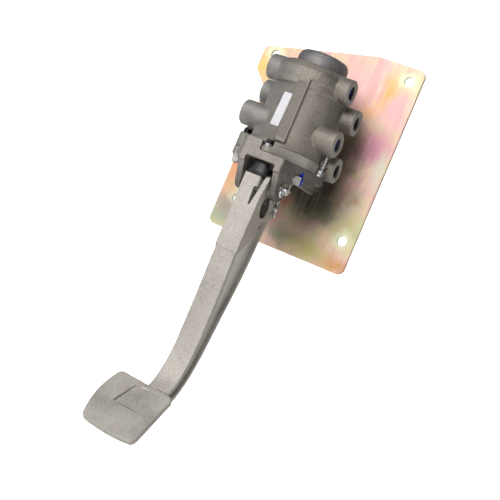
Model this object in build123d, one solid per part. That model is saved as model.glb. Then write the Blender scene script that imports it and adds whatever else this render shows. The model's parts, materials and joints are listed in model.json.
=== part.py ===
"""Suspended pedal brake valve on its mounting plate, in millimetres.

X runs across the driver's floor, Y runs from the driver to the firewall and Z is up.
The origin is on the plate's back face, on the centre plane of the valve and pedal.
"""
from build123d import *
from math import atan2, cos, degrees, radians, sin, sqrt
import os

os.makedirs("parts", exist_ok=True)

# Mounting plate: one flat sheet with straight sides and an ear
plate_thickness = 5.0
plate_left = -94.5
plate_right = 97.5
plate_margin_low = 40.0
plate_margin_high = 18.0
plate_edge_round = 0.8
plate_top_corner_x = 33.0
plate_ear_left = -115.5
plate_ear_top = 101.5
plate_ear_bottom = 70.5
plate_corner_radius = 9.0
plate_hole_diameter = 12.4
plate_hole_column_x = 81.0
plate_hole_column_spacing = 210.0
plate_hole_row_z = -94.0
plate_hole_row_spacing = 151.0
plate_ear_hole_x = -98.0
plate_ear_hole_z = 94.5
plate_bottom = plate_hole_row_z - plate_margin_low
plate_top = plate_hole_row_z + plate_hole_column_spacing + plate_margin_high

# Valve body, a casting turned about a vertical axis with pipe bosses through it
valve_y = -82.0
body_radius = 46.0
body_bottom = -39.0
body_top = 79.0
belt_bottom = 49.0
belt_top = 58.0
belt_step = 1.0
shoulder_round = 8.0
flange_stand = 4.0
flange_radius = body_radius + flange_stand
flange_height = 13.0
flange_round = 2.0
facet_cut = 6.5
facet_distance = body_radius - facet_cut
facet_angle = 237.0
facet_bottom = -21.0
rib_left = -1.5
rib_right = 13.0
rib_stand = 2.0
rib_depth = 20.0
rib_round = 1.2
column_radius = 14.0
column_x = 32.0
column_y = -104.0
port_boss_radius = 15.4
port_bore_radius = 8.2
port_bore_depth = 16.0
port_passage_radius = 5.0
port_offset = 15.0
upper_port_z = 64.0
upper_port_reach = body_radius + 8.0
middle_port_z = 37.0
lower_port_z = 2.0
bottom_port_z = -23.5
long_port_reach = body_radius + 17.0
bottom_passage_z = -17.0
bottom_passage_radius = 3.5
passage_reach = 18.0
sleeve_recess = 5.0
sleeve_wall = 1.3
sleeve_length = 9.0

# Bores inside the body, from the bottom up
piston_bore_radius = 27.0
inlet_seat_bottom = -12.0
inlet_seat_top = -8.0
inlet_hole_radius = 10.0
valve_chamber_radius = 24.0
relay_bore_bottom = 10.0
second_seat_z = 46.0
second_bore_radius = 29.0
cover_bore_z = 68.0
cover_bore_radius = 30.5

# Fits
running_clearance = 0.05
soft_clearance = 0.3
rest_gap = 0.3
thread_clearance = 0.01
screw_clearance = 0.3
past_face = 1.0
long_cut = 40.0

# Screws that hold the body to the pedal bracket
clamp_stand = 9.0
clamp_circle = body_radius + clamp_stand
clamp_shank_radius = 3.0
clamp_hole_radius = clamp_shank_radius + screw_clearance
clamp_flats = 9.0
clamp_head_height = 5.5
washer_thickness = 3.0
washer_radius = 5.5
clamp_lug_radius = 7.5
front_lug_top = -32.0
left_lug_top = -21.0
spot_clearance = 2.2
stud_x = body_radius + 6.3
stud_y = valve_y - 4.0
stud_radius = 2.0
stud_flats = 8.0
stud_nut_height = 7.0
stud_boss_radius = 6.0
stud_boss_bottom = -13.5
stud_boss_height = 11.0
stud_top = -6.0
stud_depth = 8.0
stud_lug_radius = 4.5

# Exhaust cover
cover_radius = 31.0
cover_top = 97.0
cover_wall = 4.0
cover_round = 8.0
cover_opening_radius = 12.0
cover_spigot = 3.5

# Pedal bracket, cast
bracket_front = valve_y - clamp_circle - 7.0
bracket_front_half = 27.0
bracket_right = body_radius + 9.0
bracket_left = body_radius + 4.5
bracket_shoulder_y = -102.0
bracket_waist_y = -74.0
bracket_waist_half = 33.0
bracket_waist_run = 24.0
bracket_corner_round = 5.0
bracket_deck = 10.0
bracket_skirt_bottom = -56.0
pocket_wall = 6.0
pocket_front_run = 11.0
ear_thickness = 8.0
ear_tip_radius = 16.0
ear_rear_y = -88.0
fairing_bottom = -65.0
raised_left = -41.0
raised_right = -6.0
raised_top = -27.0
raised_depth = 34.0
gusset_run = 16.0
gusset_width = 5.0
foot_thickness = 8.0
foot_half_width = 33.0
foot_top = -7.0
foot_round = 6.0
foot_screw_x = 20.0
foot_screw_low = -30.0
foot_screw_high = -14.0
foot_screw_radius = 4.0
foot_screw_head = 8.0
foot_screw_flats = 13.0
foot_nut_height = 6.0
foot_screw_length = 21.0
socket_flats = 5.0
socket_depth = 3.0

# Bolts that cross the slanted shoulders of the bracket
side_bolt_along = 0.58
side_bolt_z = -55.0
side_bolt_radius = 3.0
side_bolt_flats = 10.0
side_bolt_head = 6.0
side_bolt_shank = 9.0
side_spot_radius = 8.0
side_spot_depth = 3.0
side_spot_run = 7.0
side_boss_radius = 7.0

# Pedal hinge, roller and arm
pivot_y = -116.0
pivot_z = -71.0
pin_radius = 4.75
pin_head_height = 3.5
pin_head_stand = 3.0
pin_head_round = 2.0
pin_stand = 9.0
pin_washer_stand = 3.5
pin_washer_height = 2.0
pin_room_radius = 12.0
cotter_stand = 5.5
cotter_hole_radius = 1.6
cotter_turn = 120.0
fulcrum_cotter_wire = 2.6
roller_cotter_wire = 2.0
roller_z = -92.0
roller_radius = 12.5
roller_width = 14.0
roller_gap = 1.5
roller_side_gap = 0.5
roller_pin_radius = 4.0
bush_wall = 1.5
bush_length = 10.0
arm_width = 29.0
arm_cheek = 6.0
flange_width = 27.0
flange_thickness = 7.0
web_thickness = 8.0
rear_flange_width = 18.0
arm_front_y = -136.0
hub_radius = 11.0
lug_left = -14.5
lug_right = 7.0
lug_height = 13.0
lug_depth = 14.0
lug_round = 3.0
slot_left = 2.4
slot_right = 12.0
slot_point_x = 4.0
slot_point_z = -108.0
cheek_hole_y = -109.0
cheek_hole_z = -97.0
cheek_hole_length = 26.0
cheek_hole_width = 22.0
tine_reach = 18.0
tine_depth = 12.0
tine_foot_z = -92.0
cheek_hole_slant = 112.0
bumper_x = -2.0
bumper_y = -131.0
bumper_half_width = 13.5
bumper_half_depth = 6.2
bumper_taper = 0.72
bumper_rim = 4.0
bumper_bottom = -66.2
bumper_stem_radius = 3.0
bumper_stem_length = 6.0
bumper_room_y = -119.8

# Pad
pad_top_y = -153.5
pad_top_z = -334.0
pad_tilt = 45.0
pad_left = -53.0
pad_right = 22.5
pad_length = 80.0
pad_bulge = 5.0
pad_thickness = 7.0
pad_corner = 7.0
pocket_slope = 7.0

# Plunger, boot and pistons
plunger_radius = 8.0
foot_radius = 11.0
foot_height = 3.0
boot_bottom = -72.0
boot_top_radius = 17.0
boot_ring_radius = 18.5
seat_plate_height = 3.0
rubber_height = 8.0
rubber_radius = 18.0
piston_crown = 5.0
piston_skirt_wall = 5.0
stem_radius = 6.0
exhaust_gap = 2.5
valve_disc_radius = 14.0
valve_disc_height = 3.5
valve_stem_radius = 7.0
valve_stem_bore = 4.0
valve_spring_radius = 10.0
snap_ring_height = 1.2
ring_groove_depth = 1.5


def place(point, direction):
    """A plane at a point, looking along a direction."""
    return Plane(origin=point, z_dir=direction)


def rod(radius, start, direction, length):
    """A solid cylinder from a start point along a direction."""
    return place(start, direction) * Cylinder(radius, length, align=(Align.CENTER, Align.CENTER, Align.MIN))


def tube(outer, inner, start, direction, length):
    """A cylinder with a hole through it."""
    return rod(outer, start, direction, length) - rod(inner, start, direction, length)


def hexagon(across_flats, start, direction, length):
    """A hexagonal prism with the corners of its far face turned off."""
    section = RegularPolygon(across_flats / 2, 6, major_radius=False)
    prism = extrude(place(start, direction) * section, amount=length)
    corner_radius = across_flats / 2 / cos(radians(30))
    turned_off = place(start, direction) * Cone(
        corner_radius + length * 0.9, corner_radius * 0.93, length, align=(Align.CENTER, Align.CENTER, Align.MIN)
    )
    return prism & turned_off


def turned(*points):
    """A solid turned about the valve's axis from radius and height pairs."""
    section = Plane.XZ * make_face(Polyline(*points, close=True))
    return Pos(0, valve_y, 0) * revolve(section, Axis.Z)


def coil(radius, wire, bottom, top, turns):
    """A round-wire spring standing on the valve's axis between two heights."""
    height = top - bottom - wire
    path = Helix(pitch=height / turns, height=height, radius=radius)
    section = Plane(origin=path @ 0, z_dir=path % 0) * Circle(wire / 2)
    return Pos(0, valve_y, bottom + wire / 2) * sweep(section, path=path)


def side_face(*points):
    """A face in the side view from depth and height pairs."""
    return Plane.YZ * make_face(Polyline(*points, close=True))


def across(face, left, right):
    """A side-view face given width from one X to another."""
    return Pos(left, 0, 0) * extrude(face, amount=right - left, dir=(1, 0, 0))


def save(shape, name):
    export_step(shape, "parts/" + name + ".step")


# Mounting plate
ear_foot = plate_left - plate_ear_left
plate_outline = Polyline(
    (plate_left, plate_bottom),
    (plate_right, plate_bottom),
    (plate_right, plate_top),
    (plate_top_corner_x, plate_top),
    (plate_ear_left, plate_ear_top),
    (plate_ear_left, plate_ear_bottom),
    (plate_left, plate_ear_bottom - ear_foot),
    close=True,
)
plate_face = make_face(plate_outline)
plate_face = fillet(plate_face.vertices(), plate_corner_radius)
plate_hole_places = [
    (plate_hole_column_x, plate_hole_row_z),
    (plate_hole_column_x, plate_hole_row_z + plate_hole_column_spacing),
    (plate_hole_column_x - plate_hole_row_spacing, plate_hole_row_z),
    (plate_ear_hole_x, plate_ear_hole_z),
]
mounting_plate = extrude(Plane.XZ * plate_face, amount=plate_thickness)
front_edges = mounting_plate.edges().filter_by(Axis.Y, reverse=True).group_by(Axis.Y)[0]
mounting_plate = fillet(front_edges, plate_edge_round)
for hole_x, hole_z in plate_hole_places:
    hole_start = (hole_x, past_face, hole_z)
    mounting_plate -= rod(plate_hole_diameter / 2, hole_start, (0, -1, 0), plate_thickness + 2 * past_face)

foot_screw_places = [
    (x_side * foot_screw_x, screw_z) for x_side in (-1, 1) for screw_z in (foot_screw_low, foot_screw_high)
]
countersink_depth = foot_screw_head - foot_screw_radius
plate_screws = []
plate_nuts = []
foot_front = -plate_thickness - foot_thickness
for screw_x, screw_z in foot_screw_places:
    head = place((screw_x, 0, screw_z), (0, -1, 0)) * Cone(
        foot_screw_head, foot_screw_radius, countersink_depth, align=(Align.CENTER, Align.CENTER, Align.MIN)
    )
    mounting_plate -= head
    mounting_plate -= rod(foot_screw_radius + screw_clearance, (screw_x, 0, screw_z), (0, -1, 0), plate_thickness)
    shank = rod(foot_screw_radius, (screw_x, 0, screw_z), (0, -1, 0), foot_screw_length)
    socket_face = RegularPolygon(socket_flats / 2, 6, major_radius=False)
    socket = extrude(place((screw_x, 0, screw_z), (0, -1, 0)) * socket_face, socket_depth)
    plate_screws.append(head + shank - socket)
    nut = hexagon(foot_screw_flats, (screw_x, foot_front, screw_z), (0, -1, 0), foot_nut_height)
    plate_nuts.append(nut - rod(foot_screw_radius + thread_clearance, (screw_x, 0, screw_z), (0, -1, 0), long_cut))
save(mounting_plate, "mounting_plate")
save(Compound(plate_screws), "plate_screws")
save(Compound(plate_nuts), "plate_nuts")

# Valve body: trunk, belt, flange and bosses
trunk = turned(
    (0, body_bottom),
    (flange_radius, body_bottom),
    (flange_radius, body_bottom + flange_height - flange_round),
    (flange_radius - flange_round, body_bottom + flange_height),
    (body_radius, body_bottom + flange_height + belt_step),
    (body_radius, belt_bottom),
    (body_radius + belt_step, belt_bottom + belt_step),
    (body_radius + belt_step, belt_top),
    (body_radius + 2 * belt_step, belt_top + belt_step),
    (body_radius + 2 * belt_step, body_top - belt_step - shoulder_round),
    (body_radius - shoulder_round / 2, body_top - belt_step),
    (body_radius - shoulder_round, body_top),
    (0, body_top),
)
facet_height = belt_bottom - facet_bottom
facet_block = Pos(facet_distance, 0, facet_bottom) * Box(
    body_radius, 4 * body_radius, facet_height, align=(Align.MIN, Align.CENTER, Align.MIN)
)
trunk -= Pos(0, valve_y, 0) * Rot(0, 0, facet_angle) * facet_block
ports = [
    (-port_offset, upper_port_z, upper_port_reach),
    (port_offset, middle_port_z, long_port_reach),
    (-port_offset, lower_port_z, long_port_reach),
    (port_offset, bottom_port_z, long_port_reach),
]
valve_body = trunk
for port_y, port_z, port_reach in ports:
    boss = rod(port_boss_radius, (-port_reach, valve_y + port_y, port_z), (1, 0, 0), 2 * port_reach)
    valve_body += chamfer(boss.edges().filter_by(GeomType.CIRCLE), 0.8)
rib = Pos((rib_left + rib_right) / 2, valve_y - body_radius - rib_stand + rib_depth / 2, 0) * Box(
    rib_right - rib_left, rib_depth, belt_top - facet_bottom, align=(Align.CENTER, Align.CENTER, Align.MIN)
)
valve_body += Pos(0, 0, facet_bottom) * fillet(rib.edges().filter_by(Axis.Z).group_by(Axis.Y)[0], rib_round)

# Lugs of the flange, each on the clamp circle
left_lug_height = left_lug_top - body_bottom
front_lug_height = front_lug_top - body_bottom
for lug_y in (valve_y - clamp_circle, valve_y + clamp_circle):
    valve_body += rod(clamp_lug_radius, (0, lug_y, body_bottom), (0, 0, 1), front_lug_height)
valve_body += rod(clamp_lug_radius, (-clamp_circle, stud_y, body_bottom), (0, 0, 1), left_lug_height)
valve_body += Pos(-clamp_circle, stud_y, body_bottom) * Box(
    clamp_circle / 2, 2 * clamp_lug_radius, left_lug_height, align=(Align.MIN, Align.CENTER, Align.MIN)
)
front_lug_edge = (Pos(0, valve_y - clamp_circle) * Circle(clamp_lug_radius)).edges()
corner_edge = (Pos(column_x, column_y) * Circle(column_radius)).edges()
valve_body += Pos(0, 0, body_bottom) * extrude(make_hull(front_lug_edge + corner_edge), amount=flange_height)
for lug_y in (valve_y - clamp_circle, valve_y + clamp_circle):
    spot_height = clamp_head_height + washer_thickness + past_face
    valve_body -= rod(washer_radius + spot_clearance, (0, lug_y, front_lug_top), (0, 0, 1), spot_height)
valve_body += rod(stud_boss_radius, (stud_x, stud_y, stud_boss_bottom), (0, 0, 1), stud_boss_height)

# Bores
valve_body -= turned(
    (0, body_bottom - 1),
    (piston_bore_radius, body_bottom - 1),
    (piston_bore_radius, inlet_seat_bottom),
    (inlet_hole_radius, inlet_seat_bottom),
    (inlet_hole_radius, inlet_seat_top),
    (valve_chamber_radius, inlet_seat_top),
    (valve_chamber_radius, relay_bore_bottom),
    (piston_bore_radius, relay_bore_bottom),
    (piston_bore_radius, second_seat_z),
    (second_bore_radius, second_seat_z),
    (second_bore_radius, cover_bore_z),
    (cover_bore_radius, cover_bore_z),
    (cover_bore_radius, body_top + 1),
    (0, body_top + 1),
)
for port_y, port_z, port_reach in ports:
    for x_side in (-1, 1):
        mouth = (x_side * port_reach, valve_y + port_y, port_z)
        valve_body -= rod(port_bore_radius, mouth, (-x_side, 0, 0), port_bore_depth)
        narrow_radius = port_passage_radius
        narrow_z = port_z
        if port_z == bottom_port_z:
            narrow_radius = bottom_passage_radius
            narrow_z = bottom_passage_z
        narrow_reach = port_reach - port_bore_depth + past_face
        narrow_start = (x_side * narrow_reach, valve_y + port_y, narrow_z)
        valve_body -= rod(narrow_radius, narrow_start, (-x_side, 0, 0), narrow_reach - passage_reach)
clamp_places = [(0, valve_y - clamp_circle), (0, valve_y + clamp_circle), (-clamp_circle, stud_y)]
for hole_x, hole_y in clamp_places:
    valve_body -= rod(clamp_hole_radius, (hole_x, hole_y, body_bottom), (0, 0, 1), left_lug_height)
left_head_space = clamp_head_height + 2 * past_face
valve_body -= rod(washer_radius, (-clamp_circle, stud_y, left_lug_top), (0, 0, 1), left_head_space)
stud_notch_height = flange_height + 2 * past_face
valve_body -= rod(stud_boss_radius, (stud_x, stud_y, body_bottom - past_face), (0, 0, 1), stud_notch_height)
stud_hole_depth = stud_top - stud_boss_bottom
stud_hole = rod(stud_radius + thread_clearance, (stud_x, stud_y, stud_boss_bottom), (0, 0, 1), stud_hole_depth)
valve_body -= stud_hole
valve_body -= rod(cover_radius + soft_clearance, (0, valve_y, body_top), (0, 0, 1), past_face)
ring_heights = [
    (piston_bore_radius, relay_bore_bottom + 6.0),
    (second_bore_radius, second_seat_z + 5.0),
    (cover_bore_radius, cover_bore_z + 6.0),
]
for ring_bore, ring_z in ring_heights:
    valve_body -= turned(
        (ring_bore - 1, ring_z),
        (ring_bore + ring_groove_depth, ring_z),
        (ring_bore + ring_groove_depth, ring_z + snap_ring_height),
        (ring_bore - 1, ring_z + snap_ring_height),
    )
save(valve_body, "valve_body")

# Exhaust cover with its rubber diaphragm
cover_inner = cover_bore_radius - cover_spigot
cover_roof = cover_top - cover_wall
exhaust_cover = turned(
    (cover_inner, body_top - cover_spigot),
    (cover_bore_radius - running_clearance, body_top - cover_spigot),
    (cover_bore_radius - running_clearance, body_top),
    (cover_radius, body_top),
    (cover_radius, cover_top - cover_round),
    (cover_radius - cover_round * 0.2, cover_top - cover_round * 0.5),
    (cover_radius - cover_round * 0.55, cover_top - cover_round * 0.15),
    (cover_radius - cover_round * 1.1, cover_top),
    (cover_opening_radius, cover_top + 1),
    (cover_opening_radius, cover_roof),
    (cover_inner, cover_roof),
)
save(exhaust_cover, "exhaust_cover")
diaphragm_radius = cover_opening_radius + 6
exhaust_diaphragm = turned(
    (0, cover_roof - 2),
    (diaphragm_radius, cover_roof - 2),
    (diaphragm_radius, cover_roof),
    (cover_opening_radius - 1, cover_roof),
    (4, cover_roof + 2),
    (0, cover_roof + 2),
)
save(exhaust_diaphragm, "exhaust_diaphragm")

# Plastic thread protectors in the two ports that face the driver's right
port_sleeves = []
for port_y, port_z, port_reach in (ports[0], ports[2]):
    start = (port_reach - sleeve_recess, valve_y + port_y, port_z)
    sleeve_radius = port_bore_radius - running_clearance
    port_sleeves.append(tube(sleeve_radius, port_bore_radius - sleeve_wall, start, (-1, 0, 0), sleeve_length))
save(Compound(port_sleeves), "port_sleeves")

# Pedal bracket: deck, skirts, ears, rear arm and foot
deck_bottom = body_bottom - bracket_deck
half = bracket_front_half
bracket_outline = Polyline(
    (-half, bracket_front),
    (half, bracket_front),
    (bracket_right, bracket_shoulder_y),
    (bracket_right, bracket_waist_y),
    (bracket_waist_half, bracket_waist_y + bracket_waist_run),
    (bracket_waist_half, foot_front),
    (-bracket_waist_half, foot_front),
    (-bracket_waist_half, bracket_waist_y + bracket_waist_run),
    (-bracket_left, bracket_waist_y),
    (-bracket_left, bracket_shoulder_y),
    close=True,
)
outline_face = make_face(bracket_outline)
round_corners = outline_face.vertices().filter_by(lambda corner: corner.Y < foot_front - past_face)
outline_face = fillet(round_corners, bracket_corner_round)
skirt_height = body_bottom - bracket_skirt_bottom
bracket = Pos(0, 0, bracket_skirt_bottom) * extrude(outline_face, amount=skirt_height)
opening_half = bracket_front_half - ear_thickness
opening_depth = foot_front - bracket_front
opening = Pos(0, bracket_front - past_face, deck_bottom) * Box(
    2 * opening_half, opening_depth + 2 * past_face, long_cut, align=(Align.CENTER, Align.MIN, Align.MAX)
)
bracket -= opening
bracket_sides = ((-1, bracket_left), (1, bracket_right))
pocket_depth = deck_bottom - bracket_skirt_bottom + past_face
for x_side, edge in bracket_sides:
    pocket_x = x_side * (edge - pocket_wall)
    open_x = x_side * (edge + past_face)
    pocket_outline = Polyline(
        (x_side * half, bracket_front + pocket_front_run),
        (pocket_x, bracket_shoulder_y + past_face),
        (open_x, bracket_shoulder_y + pocket_wall),
        (open_x, foot_front + past_face),
        (x_side * half, foot_front + past_face),
        close=True,
    )
    bracket -= Pos(0, 0, deck_bottom) * extrude(make_face(pocket_outline), amount=pocket_depth, dir=(0, 0, -1))
ear_centre = (pivot_y + 1, pivot_z)
ear_root = Polyline(
    (bracket_front, deck_bottom),
    (bracket_front, deck_bottom - 2),
    (ear_rear_y, bracket_skirt_bottom),
    (ear_rear_y + 8, deck_bottom),
    close=True,
)
ear_tip = Pos(*ear_centre) * Circle(ear_tip_radius)
ear_profile = Plane.YZ * make_hull(ear_tip.edges() + ear_root.edges())
for x_side in (-1, 1):
    inner = min(x_side * half, x_side * opening_half)
    bracket += across(ear_profile, inner, inner + ear_thickness)
for lug_x, lug_y in clamp_places:
    bracket += rod(clamp_lug_radius, (lug_x, lug_y, deck_bottom), (0, 0, 1), bracket_deck)
bracket += rod(stud_lug_radius, (stud_x, stud_y, deck_bottom), (0, 0, 1), bracket_deck)
foot = Pos(0, foot_front, deck_bottom) * Box(
    2 * foot_half_width, foot_thickness, foot_top - deck_bottom, align=(Align.CENTER, Align.MIN, Align.MIN)
)
bracket += fillet(foot.edges().filter_by(Axis.Y).group_by(Axis.Z)[-1], foot_round)
gusset_top = foot_top - gusset_run / 2
gusset = side_face((foot_front, body_bottom), (foot_front, gusset_top), (foot_front - gusset_run, body_bottom))
for gusset_x in (-foot_half_width, foot_half_width - gusset_width):
    bracket += across(gusset, gusset_x, gusset_x + gusset_width)
front_wall = Pos(0, 0, body_bottom) * extrude(outline_face, amount=raised_top - body_bottom)
front_wall &= Pos(raised_right, bracket_front - past_face, body_bottom) * Box(
    raised_right - raised_left, raised_depth, long_cut, align=(Align.MAX, Align.MIN, Align.MIN)
)
wall_foot = body_bottom - past_face
front_wall -= rod(flange_radius + soft_clearance, (0, valve_y, wall_foot), (0, 0, 1), long_cut)
front_wall -= rod(clamp_lug_radius + soft_clearance, (0, valve_y - clamp_circle, wall_foot), (0, 0, 1), long_cut)
bracket += front_wall

# Slanted shoulders: each runs down into the ear, with a boss and a slot for its bolt
side_bolts = []
shoulder_rise = bracket_shoulder_y - bracket_front
for x_side, edge in bracket_sides:
    shoulder_run = edge - half
    shoulder_length = sqrt(shoulder_run**2 + shoulder_rise**2)
    bolt_x = x_side * (half + side_bolt_along * shoulder_run)
    bolt_y = bracket_front + side_bolt_along * shoulder_rise
    outward = Vector(x_side * shoulder_rise, -shoulder_run, 0) / shoulder_length
    forward = Vector(-x_side * shoulder_run, -shoulder_rise, 0) / shoulder_length
    face_point = Vector(bolt_x, bolt_y, side_bolt_z)
    root_x = x_side * (half - ear_thickness / 2)
    fairing_top = Polyline((root_x, bracket_front + pocket_front_run), (bolt_x, bolt_y), (root_x, ear_rear_y), close=True)
    fairing_tip = Polyline(
        (root_x, pivot_y - hub_radius),
        (x_side * (half + past_face), pivot_y - hub_radius / 2),
        (root_x, pivot_y + hub_radius),
        close=True,
    )
    bracket += loft(
        [Pos(0, 0, deck_bottom) * make_face(fairing_top), Pos(0, 0, fairing_bottom) * make_face(fairing_tip)]
    )
    inside_point = face_point - outward * pocket_wall
    bracket += rod(side_boss_radius, inside_point, outward, pocket_wall - side_spot_depth)
    for run in (0, side_spot_run):
        spot_start = face_point + outward * side_bolt_head + forward * run
        bracket -= rod(side_spot_radius, spot_start, -outward, side_bolt_head + side_spot_depth)
    seat_point = face_point - outward * side_spot_depth
    bracket -= rod(side_bolt_radius, seat_point, -outward, side_bolt_shank + past_face)
    bracket -= rod(pin_room_radius, (x_side * half, pivot_y, pivot_z), (x_side, 0, 0), edge)
    head = hexagon(side_bolt_flats, seat_point, outward, side_bolt_head)
    side_bolts.append(head + rod(side_bolt_radius, seat_point, -outward, side_bolt_shank))
save(Compound(side_bolts), "side_bolts")

# Holes through the bracket
bracket -= rod(washer_radius + spot_clearance, (-clamp_circle, stud_y, deck_bottom), (0, 0, -1), long_cut)
for screw_x, screw_z in foot_screw_places:
    bracket -= rod(foot_screw_radius + screw_clearance, (screw_x, 0, screw_z), (0, -1, 0), foot_screw_length)
pin_hole_length = 2 * (half + past_face)
bracket -= rod(pin_radius + running_clearance, (-half - past_face, pivot_y, pivot_z), (1, 0, 0), pin_hole_length)
deck_start = body_bottom + past_face
bracket -= rod(plunger_radius + running_clearance, (0, valve_y, deck_start), (0, 0, -1), bracket_deck + 2 * past_face)
for hole_x, hole_y in clamp_places:
    bracket -= rod(clamp_hole_radius, (hole_x, hole_y, deck_start), (0, 0, -1), long_cut)
stud_bottom = body_bottom - stud_depth
bracket -= rod(stud_radius + thread_clearance, (stud_x, stud_y, stud_bottom), (0, 0, 1), long_cut)
stem_start = deck_bottom - past_face
bracket -= rod(bumper_stem_radius, (bumper_x, bumper_y, stem_start), (0, 0, 1), bumper_stem_length + past_face)
save(bracket, "pedal_bracket")

# Clamp screws, washers and nuts
cap_screws = []
clamp_washers = []
for screw_y in (valve_y - clamp_circle, valve_y + clamp_circle):
    head_start = (0, screw_y, front_lug_top + washer_thickness)
    screw = hexagon(clamp_flats, head_start, (0, 0, 1), clamp_head_height)
    screw += rod(clamp_shank_radius, head_start, (0, 0, -1), head_start[2] - deck_bottom - past_face)
    cap_screws.append(screw)
    washer_start = (0, screw_y, front_lug_top)
    clamp_washers.append(tube(washer_radius, clamp_hole_radius, washer_start, (0, 0, 1), washer_thickness))
left_head = (-clamp_circle, stud_y, left_lug_top)
left_bolt = hexagon(clamp_flats, left_head, (0, 0, 1), clamp_head_height)
left_bolt_length = left_lug_top - deck_bottom + washer_thickness + clamp_head_height + past_face
left_bolt += rod(clamp_shank_radius, left_head, (0, 0, -1), left_bolt_length)
washer_start = (-clamp_circle, stud_y, deck_bottom)
clamp_washers.append(tube(washer_radius, clamp_hole_radius, washer_start, (0, 0, -1), washer_thickness))
nut_start = (-clamp_circle, stud_y, deck_bottom - washer_thickness)
left_nut = hexagon(clamp_flats, nut_start, (0, 0, -1), clamp_head_height)
left_nut -= rod(clamp_shank_radius + thread_clearance, nut_start, (0, 0, -1), long_cut)
right_stud = rod(stud_radius, (stud_x, stud_y, stud_bottom), (0, 0, 1), stud_top - stud_bottom)
stud_nut = hexagon(stud_flats, (stud_x, stud_y, body_bottom), (0, 0, 1), stud_nut_height)
stud_nut -= rod(stud_radius + thread_clearance, (stud_x, stud_y, body_bottom), (0, 0, 1), long_cut)
save(Compound(cap_screws), "cap_screws")
save(Compound(clamp_washers), "clamp_washers")
save(left_bolt, "left_clamp_bolt")
save(left_nut, "left_clamp_nut")
save(right_stud, "right_stud")
save(stud_nut, "stud_nut")

# Rubber rest bumper under the deck: an oval cone on a straight rim
rim_face = Pos(bumper_x, bumper_y, bumper_bottom) * Ellipse(bumper_half_width, bumper_half_depth)
root_face = Ellipse(bumper_half_width * bumper_taper, bumper_half_depth * bumper_taper)
stop_bumper = extrude(rim_face, amount=bumper_rim)
stop_bumper += loft([Pos(0, 0, bumper_rim) * rim_face, Pos(bumper_x, bumper_y, deck_bottom) * root_face])
stop_bumper += rod(bumper_stem_radius, (bumper_x, bumper_y, deck_bottom), (0, 0, 1), bumper_stem_length)
save(stop_bumper, "stop_bumper")

# Hinge pin with a domed head on the left and a cotter on the right
pin_end = half + pin_stand
fulcrum_pin = rod(pin_radius, (-half, pivot_y, pivot_z), (1, 0, 0), half + pin_end)
pin_head = rod(pin_radius + pin_head_stand, (-half, pivot_y, pivot_z), (-1, 0, 0), pin_head_height)
fulcrum_pin += fillet(pin_head.edges().group_by(Axis.X)[0], pin_head_round)
fulcrum_pin = chamfer(fulcrum_pin.edges().group_by(Axis.X)[-1], past_face)
cotter_x = half + cotter_stand
cotter_way = Vector(0, -sin(radians(cotter_turn)), cos(radians(cotter_turn)))
cotter_hole_start = Vector(cotter_x, pivot_y, pivot_z) - cotter_way * 2 * pin_radius
fulcrum_pin -= rod(cotter_hole_radius, cotter_hole_start, cotter_way, 4 * pin_radius)
save(fulcrum_pin, "fulcrum_pin")
washer_outer = pin_radius + pin_washer_stand
pin_washer = tube(washer_outer, pin_radius + running_clearance, (half, pivot_y, pivot_z), (1, 0, 0), pin_washer_height)
save(pin_washer, "pin_washer")


def cotter(x_place, y_place, z_place, pin_half, wire):
    """A split pin: an eye on top, a straight shank through the hole and two spread legs."""
    eye_radius = wire * 1.4
    eye_z = z_place + pin_half + eye_radius + wire / 2
    eye = Plane.YZ * Torus(eye_radius, wire / 2)
    body = rod(wire / 2, (x_place, y_place, eye_z - eye_radius), (0, 0, -1), 2 * pin_half + wire + 1)
    low = eye_z - eye_radius - 2 * pin_half - wire - 1
    split = Pos(x_place, y_place, eye_z) * eye + body
    for side in (-1, 1):
        split += rod(wire / 2 * 0.9, (x_place, y_place, low + 0.6), (0.15, side * 0.9, -0.75), 6.5)
    return split


fulcrum_cotter = cotter(cotter_x, pivot_y, pivot_z, pin_radius, fulcrum_cotter_wire)
save(fulcrum_cotter.rotate(Axis((cotter_x, pivot_y, pivot_z), (1, 0, 0)), cotter_turn), "fulcrum_cotter")

# Pedal arm: front flange, web, rear flange, forked head and pad in one casting
arm_top = -64.0
arm_head_bottom = -150.0
front_curve = [(-135.5, arm_head_bottom), (-132.5, -205), (-131.5, -255), (-136.0, -303), (pad_top_y, pad_top_z)]
rear_curve = [(-70.0, -102), (-71.5, -128), (-77.0, -188), (-86.5, -236), (-94.0, -277), (-105.0, -314)]
rear_curve += [(-121.0, -341.0), (-146.0, -362.0), (-186.0, -373.0)]
rear_inner = [(y - 6, z) for y, z in rear_curve[:6]]
rear_inner += [(-126.0, -337.5), (-148.0, -356.0), (-176.0, -366.0)]


def strip(first, second):
    """The side-view face between two curves that run the same way."""
    one = Spline(*first)
    two = Spline(*second)
    return Plane.YZ * make_face([one, Line(one @ 1, two @ 1), two, Line(two @ 0, one @ 0)])


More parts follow.
